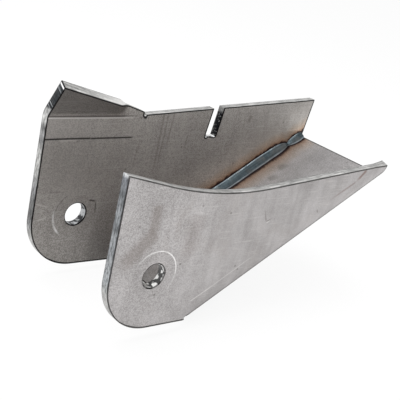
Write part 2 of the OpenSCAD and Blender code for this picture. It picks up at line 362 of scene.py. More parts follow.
# %% Nick and far end
nick_r, nick_back, nick_leave = 2.2, 0.6, 177.2  # radius, shift in radii to the ear, angle at its edge
nick_x = cheek_drop * np.sin(ramp_tilt) + fold_start
nick_x /= np.cos(ramp_tilt) - ear_fall * np.sin(ramp_tilt)
nick = on_cheek([[nick_x - nick_back * nick_r, -cheek_drop - nick_x * ear_fall]])[0]
nick_foot = np.degrees(np.arccos((fold_start - nick[0]) / nick_r))
bend_len = (fold_r - sheet_t / 2) * np.pi / 2
sheet_end = -bend_len - (half_gap - front_y - fold_r)
end_width = np.linspace(sheet_end, on_cheek([[ramp_reach, tip_h - tip_cut_h]])[0, 1], 120)
end_along = (ramp_reach + bend_middle(end_width) * np.sin(ramp_tilt)) / np.cos(ramp_tilt)
print("nick at", nick.round(2), "in the ramp's directions")

# %% Cheek outline
cheek_outline = filled(np.concatenate([
    on_cheek(ear_corner(cheek_drop)),
    arc(nick, nick_r, nick_leave - np.degrees(ramp_tilt), -nick_foot, 0.3),
    [[fold_start, sheet_end]],
    np.stack([end_along, end_width], axis=1),
    on_cheek([[ramp_reach - tip_cut_w, tip_h - tip_cut_w * np.tan(rise)]]),
    on_cheek(hollow),
    on_cheek([[-ear_reach, cheek_h]]),
]))
print("cheek outline", len(cheek_outline), "points")

# %% Cheek bent to shape
fold_lead, fold_ease = 4.5, 4.2  # the turn begins this far before fold_start, and eases in over this length
upright_from, upright_over = 40.0, 80.0  # along the ramp, where the upright cut of its end sets in


def bend_ramp(flat, depth):
    """Below the bend line the sheet runs round an arc of radius fold_r - depth through a right angle, then
    straight to the back plate. The angle eases in at fold_start, and the far end stays cut upright."""
    along, width = flat[..., 0], flat[..., 1]
    turn = np.pi / 2 * ease((along - fold_start + fold_lead) / fold_ease)
    middle_r, r = fold_r - sheet_t / 2, fold_r - depth
    angle = np.clip(-width / middle_r, 0, turn)
    leg = np.maximum(-width - middle_r * turn, 0)
    y = front_y + fold_r - r * np.cos(angle) + leg * np.sin(turn)
    up = fold_up - r * np.sin(angle) - leg * np.cos(turn) + np.maximum(width, 0)
    upright = (middle_r - r) * np.sin(angle) * np.tan(ramp_tilt)
    upright = upright * ease((along - upright_from) / upright_over)
    place = (along + upright)[..., None] * along_dir + up[..., None] * up_dir
    return np.stack([place[..., 0], y, place[..., 1]], axis=-1)


cheek_columns = np.concatenate([np.arange(-36, 8, 4.0), np.arange(8.4, 16, 0.7), np.arange(18, 168, 4.0)])
cheek_rows = np.concatenate([np.arange(-74, -22, 4.0), np.linspace(-bend_len, 0, 17), np.arange(3, 90, 4.0)])
# the same lit side in the ramp's directions, for the cheek's painted edge shade
cheek_entry = np.array([beam_entry @ along_dir, beam_entry @ up_dir])
cheek = folded_sheet("folded_cheek_and_ramp", [cheek_outline, on_cheek(bolt_hole)], cheek_columns, cheek_rows,
                     bend_ramp, cheek_entry)

# %% [markdown]
# ## Weld runs
# Two runs of weld fill the corner between ramp and back plate: a long one, and a short one
# that starts where the first stops. A bead could be a curve with a bevel, but its section
# changes along the run, so it is a grid: one parameter along the corner, one across the face.
# Shallow crescents cross it, as the pool freezes in steps.

# %% Weld section
weld_start, short_len, short_leg, overlap = 22.0, 12.8, 3.7, 0.3
leg_change = 95.0  # along the ramp, where the long run's legs begin to change
weld_end = (ramp_reach + ramp_top * np.sin(ramp_tilt)) / np.cos(ramp_tilt)
weld_neck = weld_end - short_len


def weld_run(name, start, stop, tapers, ramp_leg, plate_leg, low=0.22, ripple=0.05, pitch=1.3):
    """Section p = ramp leg * cos^k t, q = plate leg * sin^k t from one toe to the other, with crescents
    ripple * sin(2 pi (along + bow) / pitch). A leg is (size, change, mm over which it changes). Over the
    tapers (mm in, mm out, place of the point) the bead is drawn to a blunt point at each end:
    low + (1 - low) (1 - (1 - s)^2)^0.75. The corner line closes the section, and both ends are capped."""
    along = np.linspace(start, stop, int((stop - start) / 0.22))[:, None]
    t = np.linspace(0, np.pi / 2, 21)[None, :]
    s = np.clip(np.minimum((along - start) / tapers[0], (tapers[2] - along) / tapers[1]), 0, 1)
    swell = low + (1 - low) * (1 - (1 - s) ** 2) ** 0.75
    # the legs waver by 1 or 2 percent, in waves of about 20 and 8 mm
    wander = 1 + 0.014 * np.sin(along * 0.31 + 0.6) + 0.008 * np.sin(along * 0.83 + 2.0)
    bow = 1.1 * np.sin(2 * t) ** 2
    fluff = ripple * np.sin(2 * np.pi * (along + bow) / pitch) * np.sin(2 * t) ** 0.5
    size = swell * (wander + fluff / 4)
    out, up = [(leg + change * ease((along - leg_change) / over)) * size * wave ** 1.45
               for (leg, change, over), wave in [(ramp_leg, np.cos(t)), (plate_leg, np.sin(t))]]
    out, up = np.pad(out, ((0, 0), (0, 1))), np.pad(up, ((0, 0), (0, 1)))
    place = (along[..., None] * along_dir) + (ramp_top + up)[..., None] * up_dir
    places = np.stack([place[..., 0], half_gap - out, place[..., 1]], axis=-1)
    long, across = out.shape
    index = np.arange(long * across).reshape(long, across)
    turned = np.roll(index, -1, axis=1)
    quads = np.stack([index[:-1], index[1:], turned[1:], turned[:-1]], axis=-1).reshape(-1, 4)
    far, near = index[-1:, ::-1], index[:1]
    v = np.broadcast_to(t / np.pi * 2, (long, across - 1))
    v = np.pad(v, ((0, 0), (0, 1)), constant_values=0.5) * 10
    uv = np.stack([np.broadcast_to(along, (long, across)), v], axis=-1).reshape(-1, 2)
    corners = np.concatenate([uv[part].reshape(-1, 2) for part in (quads, far, near)])
    return make_piece(name, places.reshape(-1, 3), [quads, far, near], corners, np.zeros(len(quads) + 2))


print("weld ends", round(weld_end, 2), "mm along the ramp")

# %% The two runs
long_stop, short_start = weld_neck + overlap, weld_neck - overlap
# the long run's leg shrinks on the ramp and grows on the plate; the short run is cut off before its point
long_weld = weld_run("long_weld_run", weld_start, long_stop, (10, 13, long_stop),
                     (4.3, -0.9, 45), (4.0, 0.9, 30))
short_weld = weld_run("short_weld_run", short_start, weld_end - 0.1, (8, 8, weld_end + 3.0),
                      (short_leg, 0.0, 1), (short_leg, 0.0, 1))

# %% [markdown]
# ## Where the pieces belong
# Each piece stands for one solid of the imported model and moves with its only body.

# %% Bind the pieces
for piece, node_name, slot_name in [
        (back_plate, "back_plate", "plate_steel"), (cheek, "cheek_ramp", "plate_steel"),
        (long_weld, "long_weld", "weld_metal"), (short_weld, "short_weld", "weld_metal")]:
    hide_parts(node_name)
    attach(piece, "root")
    print(piece.name, "stands for", node_name)

# %% [markdown]
# ## Colours and nodes
# Colours are written as they look on a screen, and one function turns them to the linear
# values that Blender mixes with. One more function adds a node, sets it, links it and gives
# back its output, so that a material reads as a list of steps.

# %% Colour and node helpers
def linear(hex_code):
    """sRGB hex to linear: c / 12.92 below 0.04045, else ((c + 0.055) / 1.055) ^ 2.4."""
    c = np.array([int(hex_code[i:i + 2], 16) for i in (1, 3, 5)]) / 255
    return (*np.where(c <= 0.04045, c / 12.92, ((c + 0.055) / 1.055) ** 2.4), 1.0)


def add(tree, kind, feeds=(), out=0, stops=(), **settings):
    """Adds a shader node, sets its settings and ramp stops, and fills its inputs, listed in order or by key,
    with values or links. Gives back the output at out, or the node itself where out is None."""
    made = tree.nodes.new("ShaderNode" + kind)
    for key, value in settings.items():
        setattr(made, key, value)
    for key, value in feeds.items() if isinstance(feeds, dict) else enumerate(feeds):
        if isinstance(value, bpy.types.NodeSocket):
            tree.links.new(value, made.inputs[key])
        else:
            made.inputs[key].default_value = value
    for number, (place, colour) in enumerate(stops):
        spots = made.color_ramp.elements
        spot = spots[number] if number < 2 else spots.new(place)
        spot.position, spot.color = place, linear(colour)
    return made if out is None else made.outputs[out]


def new_material(name):
    """An empty node material and its tree."""
    material = bpy.data.materials.new(name)
    material.use_nodes = True
    material.node_tree.nodes.clear()
    return material, material.node_tree


print("#808080 is", round(linear("#808080")[0], 3), "in linear light")

# %% [markdown]
# ## Masks, patches and metal
# Rolled, cut and handled steel is never even, so every finish here has patches. They are
# noise: one scale gives round patches of about 1 / scale metres, three scales stretch them
# into streaks. A mask says how much of a tint a place takes, and masks are multiplied where
# all of them have to hold. All the steel ends in the same way, as a metal with a slight bump.

# %% Masks, patches and metal
def product(tree, *ramps):
    """A mask: the product of its ramps. A ramp is an output, or (output, from, to, low, high): low where the
    output is at from, high where it is at to, straight between them and level outside."""
    mask = None
    for ramp in ramps:
        if isinstance(ramp, tuple):
            ramp = add(tree, "MapRange", ramp)
        mask = ramp if mask is None else add(tree, "Math", [mask, ramp], operation="MULTIPLY")
    return mask


def mottle(tree, vector, scale, detail, roughness=0.5, span=None, turn=0.0, warp=0.0):
    """Noise over the vector, which is turned about y and stretched where scale has three numbers. With a
    span, its values from span[0] to span[1] become span[2] to span[3]."""
    if isinstance(scale, tuple):
        vector = add(tree, "Mapping", {"Vector": vector, "Rotation": (0, turn, 0), "Scale": scale})
        scale = 1.0
    patches = add(tree, "TexNoise", {"Vector": vector, "Scale": scale, "Detail": detail,
                                     "Roughness": roughness, "Distortion": warp})
    return add(tree, "MapRange", [patches, *span]) if span else patches


def metal_surface(tree, colour, rough, height, strength, distance):
    """Joins a colour, a ramp of roughness and a bump of the height into a metal, and that to the output."""
    bump = add(tree, "Bump", {"Height": height, "Strength": strength, "Distance": distance})
    shader = add(tree, "BsdfPrincipled", {"Base Color": colour, "Metallic": 1.0,
                                          "Roughness": add(tree, "MapRange", rough), "Normal": bump})
    add(tree, "OutputMaterial", [shader], None)


print("patches of scale 140 are about", round(1000 / 140, 1), "mm across")

# %% [markdown]
# ## Pickled steel sheet
# Hot-rolled sheet that was pickled clean is a soft grey metal. It mirrors what is in front of
# it as a broad blur, so the cheek shows the pale floor and the back plate shows the darker
# inside of the cheek. Rolling leaves faint upright streaks, pickling a fine grain, and
# handling leaves scratches, brown smudges and specks.

# %% Rolled, pickled and handled
bend_from, bend_to = -0.030, -0.014  # between these y, in metres, the cheek turns into the ramp


def pickled_tone(tree, where, grit):
    """Streaks, clouds and grain added up. grit is the depth of the grain at the ears and at the tip, the x
    between which it changes, and the share of it on the ramp."""
    at_ears, at_tip, first, last, on_ramp = grit
    # upright rolling streaks, about 5 mm apart and 25 mm long, and cloudy patches about 15 mm across
    streaks = mottle(tree, where, (210, 210, 40), 3.0, 0.55)
    clouds = mottle(tree, where, 60.0, 2.0)
    # pickled grain, drawn at 0.45 mm, coarser than the real grain so that it shows
    grain = mottle(tree, where, 2200.0, 1.0, 0.7)
    grain = add(tree, "Math", [grain, 0.5], operation="SUBTRACT")
    x, y, _ = add(tree, "SeparateXYZ", [where], None).outputs
    depth = product(tree, (x, first, last, at_ears, at_tip), (y, bend_from, bend_to, 1.0, on_ramp))
    tone = 0.0
    for part, share in [(streaks, 0.34), (clouds, 0.5), (grain, depth)]:
        tone = add(tree, "Math", [part, share, tone], operation="MULTIPLY_ADD")
    return tone


def handled(tree, where, colour):
    """The colour under scratches, then smudges, then specks."""
    # fine scratches along the sheet, about 20 mm long, drawn at 0.8 mm so that they show
    scratches = mottle(tree, where, (50, 50, 1250), 2.0, 0.6, (0.60, 0.72, 0.0, 0.35), turn=0.12)
    # brown handling smudges, patches of about 30 mm
    rub = mottle(tree, where, 34.0, 5.0, 0.7, (0.55, 0.75, 0.0, 0.35), warp=0.6)
    # small dark specks, about 1 mm, some 9 mm apart
    specks = add(tree, "TexVoronoi", {"Vector": where, "Scale": 110.0, "Randomness": 1.0}, "Distance")
    specks = add(tree, "MapRange", [specks, 0.04, 0.09, 0.5, 0.0])
    for mask, tint in [(scratches, "#D2CFCD"), (rub, "#968E88"), (specks, "#5F5A57")]:
        colour = add(tree, "Mix", {0: mask, 6: colour, 7: linear(tint)}, 2, data_type="RGBA")
    return colour


print("the cheek turns into the ramp over", round((bend_to - bend_from) / mm, 1), "mm")

# %% [markdown]
# ## Heat of the weld
# Next to the weld the heat leaves a dark line, then brown, then straw. They follow the
# distance from the toe of the bead, so that distance is worked out first: from the corner of
# ramp and plate, less the leg of the bead, which changes along the run.

# %% Distance from the weld
def weld_distance(tree, where, legs):
    """Distance in metres from the weld's toe: from the corner of ramp and plate, less the bead's leg."""
    run, up = [add(tree, "VectorMath", [where, (way[0], 0, way[1])], "Value", operation="DOT_PRODUCT")
               for way in (along_dir, up_dir)]
    up = add(tree, "Math", [up, ramp_top * mm], operation="SUBTRACT")
    back = add(tree, "SeparateXYZ", [where], "Y")
    back = add(tree, "Math", [back, half_gap * mm], operation="SUBTRACT")
    away = add(tree, "CombineXYZ", [up, back])
    away = add(tree, "VectorMath", [away], "Value", operation="LENGTH")
    # the far side of each sheet is only tinted: depth through the sheet counts once more
    through = add(tree, "Math", [up, -1.0], operation="MULTIPLY")
    for side in (back, 0.0):
        through = add(tree, "Math", [through, side], operation="MAXIMUM")
    # the edge of the heat wavers, and before the long run starts there is none
    flicker = mottle(tree, where, 420.0, 3.0, 0.5, (0.3, 0.7, -0.0006, 0.0006))
    before = add(tree, "MapRange", [run, 0.010, 0.024, 0.02, 0.0])
    for more in (through, flicker, before):
        away = add(tree, "Math", [away, more], operation="ADD")
    # the leg changes along the long run, is drawn in at the neck, and is smaller on the short run
    neck = add(tree, "Math", [run, weld_neck * mm], operation="SUBTRACT")
    neck = add(tree, "Math", [neck], operation="ABSOLUTE")
    neck = add(tree, "Math", [add(tree, "MapRange", [neck, 0.0, 0.010]), 0.5], operation="POWER")
    leg = product(tree, (run, 0.095, 0.130, legs[0] * mm, legs[1] * mm), (neck, 0.0, 1.0, 0.25, 1.0),
                  (run, (weld_neck - 0.5) * mm, (weld_neck + 0.5) * mm, 1.0, short_leg / legs[1]),
                  (run, (weld_end - 5) * mm, weld_end * mm, 1.0, 0.75))
    return add(tree, "Math", [away, leg], operation="SUBTRACT")


print("the weld's neck is", round(weld_neck, 1), "mm along the ramp")

# %% Pickled steel sheet
heat_tints = [(0.0, "#4A3B3C"), (1.0, "#FFFFFF"), (0.09, "#5C4A47"), (0.14, "#A98D80"), (0.20, "#E6CAB4"),
              (0.29, "#FBE4D1"), (0.44, "#FDEFE2"), (0.68, "#FEF6EE")]


def sheet_steel(name, tones, marks, painted_light, legs, reach, grit):
    """Metal between two tones, handled, times the heat colours over reach mm from the weld; then the piece's
    own marks are laid on, and all is times its painted light and shade."""
    material, tree = new_material(name)
    where = add(tree, "TexCoord", out="Object")
    tone = pickled_tone(tree, where, grit)
    colour = add(tree, "ValToRGB", [tone], stops=[(0.19, tones[0]), (0.65, tones[1])])
    colour = handled(tree, where, colour)
    away = weld_distance(tree, where, legs)
    heat = add(tree, "ValToRGB", [add(tree, "MapRange", [away, 0.0, reach * mm])], stops=heat_tints)
    colour = add(tree, "Mix", {0: 1.0, 6: colour, 7: heat}, 2, data_type="RGBA", blend_type="MULTIPLY")
    for mask, tint in marks(tree, where):
        colour = add(tree, "Mix", {0: mask, 6: colour, 7: linear(tint)}, 2, data_type="RGBA")
    # the heat also burnt the surface clean, so it is brighter for 22 mm; this is multiplied with the piece's
    # painted light and shade
    level = product(tree, painted_light(tree, where), (away, 0.001, 0.022, 1.5, 1.0))
    colour = add(tree, "VectorMath", {0: colour, "Scale": level}, operation="SCALE")
    metal_surface(tree, colour, (tone, 0.19, 0.65, 0.58, 0.46), tone, 0.12, 0.0004)
    return material


print("heat shows in", len(heat_tints), "tints")

# %% [markdown]
# ## Marks of handling
# Single marks are drawn by formula: the distance from a straight line or from a circle,
# turned into a mask. Each row below is a tint, the two ends in millimetres on the face, the
# width, the strength, and the share of the length over which the mark fades out.

# %% Lines and rings
def line_mark(tree, where, start, stop, width, strength, fade=0.25, flat=False):
    """1 - distance / width from a straight line on a face, in x and z (mm), or x and y for a flat-lying
    face, fading over its last part."""
    start, stop = np.array(start), np.array(stop)
    way = (stop - start) / np.linalg.norm(stop - start)
    side = np.array([-way[1], way[0]])
    off, run = [add(tree, "VectorMath", [where, (v[0], v[1], 0) if flat else (v[0], 0, v[1])], "Value",
                    operation="DOT_PRODUCT") for v in (side, way)]
    off = add(tree, "Math", [off, start @ side * mm], operation="SUBTRACT")
    off = add(tree, "Math", [off], operation="ABSOLUTE")
    first, last = start @ way * mm, stop @ way * mm
    return product(tree, (off, width * mm / 4, width * mm * 3 / 4, strength, 0.0),
                   (run, first - 0.0003, first + min(0.001, 0.2 * (last - first))),
                   (run, last - fade * (last - first), last, 1.0, 0.0))


def ring_mark(tree, where, radius, width, strength, side, none, full):
    """1 - distance / width from a circle round the bolt axis, strongest towards side = (x, z): it grows
    from none to full, in mm along side, and is broken up by noise."""
    off = add(tree, "VectorMath", [where, (1, 0, 1)], operation="MULTIPLY")
    off = add(tree, "VectorMath", [off], "Value", operation="LENGTH")
    off = add(tree, "Math", [off, radius * mm], operation="SUBTRACT")
    off = add(tree, "Math", [off], operation="ABSOLUTE")
    facing = add(tree, "VectorMath", [where, (side[0], 0, side[1])], "Value", operation="DOT_PRODUCT")
    return product(tree, (off, width * mm / 4, width * mm * 3 / 4, strength, 0.0),
                   mottle(tree, where, 160.0, 2.0, 0.5, (0.35, 0.6, 0.3, 1.0)),
                   (facing, none * mm, full * mm, 0.06, 1.0))


def on_face(tree, where, face, lines, rings=()):
    """Lines and rings as pairs of mask and tint, kept to one face: each mask times the face's own mask."""
    marks = [(line_mark(tree, where, *line), tint) for tint, *line in lines]
    marks += [(ring_mark(tree, where, *ring), tint) for tint, *ring in rings]
    return [(product(tree, mask, face), tint) for mask, tint in marks]


print("a line of width 1 is full over 0.5 mm and gone past 1.5 mm")

# %% Marks of the cheek
cheek_lines = [
    # brown rubbed smears
    ("#7A716B", (-6.2, 37), (-5.5, 21), 5.5, 0.45),
    ("#7A716B", (-4.0, 23), (-22, 6), 8.0, 0.45),
    ("#8A7C76", (20, 30), (17, 4), 9.0, 0.16),
    # small dark marks, one with a light line beside it
    ("#6E6864", (67.9, 21.1), (64.3, 29.1), 0.7, 0.55, 0.7),
    ("#6E6864", (67.9, 21.1), (72.7, 22.9), 0.6, 0.50, 0.7),
    ("#DEDCDA", (68.3, 20.3), (71.0, 21.3), 0.6, 0.50, 0.5),
    ("#6E6864", (106.7, 24.3), (108.0, 22.1), 0.8, 0.55, 0.3),
    # the die's light line above the bend
    ("#E2E0DE", (27, -18.6), (40, -12.0), 0.6, 0.45),
    ("#DAD8D6", (36, -14.1), (66, 2.4), 0.6, 0.35),
    # a crease near the tip
    ("#74584F", (141.3, 45.6), (134.4, 38.7), 1.7, 0.65, 0.4),
    ("#7A6660", (134.4, 38.7), (112.9, 27.7), 1.1, 0.5, 0.6),
]
washer_ring = ("#F0EFEE", 12.9, 0.62, 0.82, (0.55, 0.83), -1, 10)
ramp_smears = [
    ("#66605C", (133, 19.2), (139.5, 17.3), 4.5, 0.45, 0.5, True),
    ("#66605C", (123, 16.4), (129.5, 13.6), 4.0, 0.40, 0.5, True),
]
print(len(cheek_lines), "lines on the cheek and", len(ramp_smears), "smears on the ramp")

# %% Steel of the cheek
def cheek_marks(tree, where):
    """Marks on the cheek's front and on the ramp, and a shade where the bend's outer side turns under."""
    depth = add(tree, "SeparateXYZ", [where], "Y")
    up = add(tree, "VectorMath", [where, (up_dir[0], 0, up_dir[1])], "Value", operation="DOT_PRODUCT")
    front = add(tree, "MapRange", [depth, -0.0365, -0.0355, 1.0, 0.0])
    upper = add(tree, "MapRange", [up, (ramp_top - 2) * mm, (ramp_top - 1) * mm])
    shade = product(tree, (up, (ramp_top + 2.9) * mm, (ramp_top + 4.6) * mm, 0.75, 0.0),
                    (depth, -0.0295, -0.028, 1.0, 0.0))
    return (on_face(tree, where, front, cheek_lines, [washer_ring])
            + on_face(tree, where, upper, ramp_smears) + [(shade, "#55504D")])


def cheek_painted_light(tree, where):
    """Painted light and shade: 1.04 on the cheek; past the bend, on the ramp, painted shade, darkest towards
    the open end.
    """
    x, y, _ = add(tree, "SeparateXYZ", [where], None).outputs
    folded = add(tree, "MapRange", [y, bend_from, bend_to])
    ramp_painted_shade = add(tree, "MapRange", [x, 0.09, 0.14, 0.70, 0.60])
    return add(tree, "Mix", {0: folded, 2: 1.04, 3: ramp_painted_shade}, data_type="FLOAT")


cheek_steel = sheet_steel("pickled_hot_rolled_steel_cheek", ("#979493", "#BBB8B8"), cheek_marks, cheek_painted_light,
                          (4.3, 3.4), 12.5, (1.3, 0.42, 0.005, 0.04, 3.4))
print(cheek_steel.name, len(cheek_steel.node_tree.nodes), "nodes")

# %% Marks of the back plate
plate_lines = [
    # a paler strip under the lip, and painted shade in a band down the ear, beside the cheek's edge
    ("#CFCBC8", (-26, 47.6), (14, 47.6), 12.5, 0.24, 0.85),
    ("#4C4745", (19.5, -31), (23, 26), 15.0, 0.40, 1.0),
    # upright rolling marks
    ("#77706B", (46.1, 56), (46.2, 18), 1.2, 0.46),
    ("#77706B", (49.2, 56), (48.3, 22), 0.9, 0.42),
    ("#77706B", (53.2, 56), (51.8, 34), 1.2, 0.40),
    ("#77706B", (33.0, 38), (30.9, 25), 0.9, 0.35),
    ("#77706B", (66.1, 43), (65.3, 33), 0.9, 0.35),
    ("#6E6762", (113, 54), (111.5, 49.5), 2.4, 0.45),
    # two scribed ticks by the hole, and scratches
    ("#3F3B39", (6.9, 7.6), (11.5, 6.6), 0.9, 0.8),
    ("#4A4644", (11.5, 6.6), (12.2, -2.5), 0.9, 0.6, 0.6),
    ("#D2CECB", (-25.2, 8.0), (-16.1, 5.0), 0.7, 0.6),
    ("#D2CECB", (-23.1, -1.6), (-16.4, 0.0), 0.7, 0.7),
    ("#5F5A57", (-18.7, 13.5), (-10.5, 13.5), 0.7, 0.35),
    # a painted highlight along the lip's bend, with a dark line above
    ("#E6E3E1", (-26, 53.15), (30, 53.15), 0.75, 0.85),
    ("#4A4644", (-26, 54.15), (30, 54.15), 0.9, 0.7),
    # a scribed line in two strokes
    ("#2E2B2A", (-26, 42.3), (1.9, 42.3), 0.9, 0.95, 0.04),
    ("#2E2B2A", (27.5, 42.2), (1.1, 42.2), 0.9, 0.92, 0.03),
    ("#DAD6D3", (-17, 41.4), (-5, 41.4), 0.8, 0.5),
    # a near-black spot under the relief cut
    ("#1D1B1B", (32.7, 53.4), (34.6, 53.2), 1.8, 0.95, 0.1),
]
plate_rings = [
    ("#FFFFFF", 13.4, 1.1, 1.0, (-0.94, -0.34), 11.0, 12.6),
    ("#5F5A57", 12.9, 0.8, 0.45, (-0.87, 0.5), 9.5, 12.3),
]
print(len(plate_lines), "lines and", len(plate_rings), "rings on the back plate")

# %% Steel of the back plate
def plate_marks(tree, where):
    """Marks on the side of the back plate that looks at the cheek."""
    depth = add(tree, "SeparateXYZ", [where], "Y")
    front = add(tree, "MapRange", [depth, 0.0335, 0.0345, 1.0, 0.0])
    return on_face(tree, where, front, plate_lines, plate_rings)


def plate_painted_shade(tree, where):
    """Painted light and shade: a little lighter high on the ear, darker low on it and towards the tip, and
    darkest on the lip, which faces forward and down.
    """
    x, y, z = add(tree, "SeparateXYZ", [where], None).outputs
    return product(tree, (z, -0.028, 0.014, 0.67, 1.03), (x, 0.03, 0.07, 1.0, 0.86),
                   (x, 0.11, 0.15, 1.0, 0.88), (y, 0.0308, 0.0322, 0.5, 1.0))


plate_steel = sheet_steel("pickled_hot_rolled_steel_plate", ("#989490", "#BCB8B4"), plate_marks, plate_painted_shade,
                          (4.0, 4.9), 9.0, (2.1, 0.9, 0.085, 0.125, 1.0))
print(plate_steel.name, len(plate_steel.node_tree.nodes), "nodes")

# %% [markdown]
# ## Laser-cut edge
# The beam leaves fine lines across the thickness of the sheet, square to its faces. They
# follow the edge, so the pattern reads the edge's own UV map: the first coordinate is the
# length along the cut, the second the depth. What differs from place to place is a list of
# layers, each a mask and a tint: the left ends, the lip's top, the slot and the bores.

# %% Left ends and lip
def end_layers(tree, run, where, end_tones, rim):
    """Mask of the left ends, and layers: their tone by height, the coarse end of the lip, a painted highlight
    just under its upper corner, the dark corner, and a painted highlight along the lip's top edge."""
    x, _, z = add(tree, "SeparateXYZ", [where], None).outputs
    left = add(tree, "MapRange", [x, -0.0252, -0.0246, 1.0, 0.0])
    # the left ends' tone changes with height, from -30 to 60 mm, as listed in their tables
    graded = add(tree, "ValToRGB", [add(tree, "MapRange", [z, -0.030, 0.060])],
                 stops=[((height + 30) / 90, tint) for height, tint in end_tones])
    # scale flakes about 4 mm long along the cut and 1 mm across it, dark on the bright cut
    flakes = mottle(tree, run, (260, 950, 1), 3.0, 0.7)
    flakes = add(tree, "ValToRGB", [flakes], stops=[(0.36, "#8E8E8E"), (0.6, "#FFFFFF")])
    ends = add(tree, "Mix", {0: 1.0, 6: flakes, 7: graded}, 2, data_type="RGBA", blend_type="MULTIPLY")
    # the end of the lip is coarse and dark, with bright cut lines
    coarse = mottle(tree, run, (1300, 60, 1), 2.0, 0.6)
    coarse = add(tree, "ValToRGB", [coarse],
                 stops=[(0.42, "#14171A"), (0.70, "#E8EBEE"), (0.60, "#3C4145")])
    lip_end = product(tree, (z, 0.0575, 0.0590), left)
    climb = add(tree, "VectorMath", [where, (0, -np.sin(lip_turn), np.cos(lip_turn))], "Value",
                operation="DOT_PRODUCT")
    corner_highlight, corner = [product(tree, (climb, (lip_crest - first) * mm, (lip_crest - last) * mm), lip_end)
                   for first, last in [(1.9, 1.6), (0.8, 0.6)]]
    # painted highlight: the lip's top edge is brighter towards its right end
    lip_top_highlight = product(tree, (x, -0.014, 0.014, 0.0, 0.75), (x, 0.018, 0.022, 1.0, 0.0), (z, 0.056, 0.057))
    return left, [(left, ends), (lip_end, coarse), (corner_highlight, linear("#FFFFFF")), (corner, linear(rim)),
                  (lip_top_highlight, linear("#E9E8E6"))]


print("the lip's crest is at", round(lip_crest, 2), "mm along its slope")

# %% Slot and bores
slot_axis = (np.sin(plate_lean), 0, np.cos(plate_lean))
slot_mid_z, plate_mid_y = 49.0, half_gap + sheet_t / 2
slot_floor = ((plate_top(slot_x) - slot_mid_z) * np.cos(plate_lean) - slot_depth) * mm
slot_ring = ((slot_x - slot_depth * np.sin(plate_lean) - 0.4) * mm, 0.0345,
             (plate_top(slot_x) - slot_depth * np.cos(plate_lean)) * mm)


def opening_layers(tree, where, bore_tone):
    """Layers for the slot, burnt nearly black with a few bright flecks, and the bores, burnt in patches."""
    slot_mid = (slot_x * mm, plate_mid_y * mm, slot_mid_z * mm)
    here = add(tree, "VectorMath", [where, slot_mid], operation="SUBTRACT")
    near = add(tree, "VectorMath", [here, (1, 0.5, 0.72)], operation="MULTIPLY")
    near = add(tree, "VectorMath", [near], "Value", operation="LENGTH")
    soot = add(tree, "MapRange", [near, 0.0076, 0.0086, 1.0, 0.0])
    sunk = add(tree, "VectorMath", [here, slot_axis], "Value", operation="DOT_PRODUCT")
    wall = add(tree, "MapRange", [sunk, slot_floor + 0.0004, slot_floor + 0.0009])
    # the slot's floor is bright round a burnt ring, and its mouth is only stained
    bare = product(tree, (wall, 0.0, 1.0, 1.0, 0.0), soot)
    wall = product(tree, wall, (sunk, slot_floor + 0.0140, slot_floor + 0.0165, 1.0, 0.4))
    ring = add(tree, "VectorMath", [where, slot_ring], "Value", operation="DISTANCE")
    ring = add(tree, "Math", [ring, 0.0015], operation="SUBTRACT")
    ring = add(tree, "Math", [ring], operation="ABSOLUTE")
    ring = add(tree, "MapRange", [ring, 0.0003, 0.0006, 1.0, 0.0])
    wall = add(tree, "Math", [wall, ring], operation="MAXIMUM")
    soot = product(tree, soot, mottle(tree, where, 900.0, 2.0, 0.5, (0.55, 0.63, 1.0, 0.4)), wall)
    bore = add(tree, "VectorMath", [where, (1, 0, 1)], operation="MULTIPLY")
    bore = add(tree, "VectorMath", [bore], "Value", operation="LENGTH")
    bore = add(tree, "MapRange", [bore, 0.0072, 0.0076, 0.9, 0.0])
    shine = product(tree, bore, mottle(tree, where, 420.0, 1.0, 0.5, (0.45, 0.55, 1.0, 0.0)))
    soot = add(tree, "Math", [soot, shine], operation="MAXIMUM")
    return [(bare, linear("#F6F6F6")), (bore, linear(bore_tone)), (soot, linear("#141518"))]


print("slot floor", round(slot_ring[2] / mm, 2), "mm above the bolt")

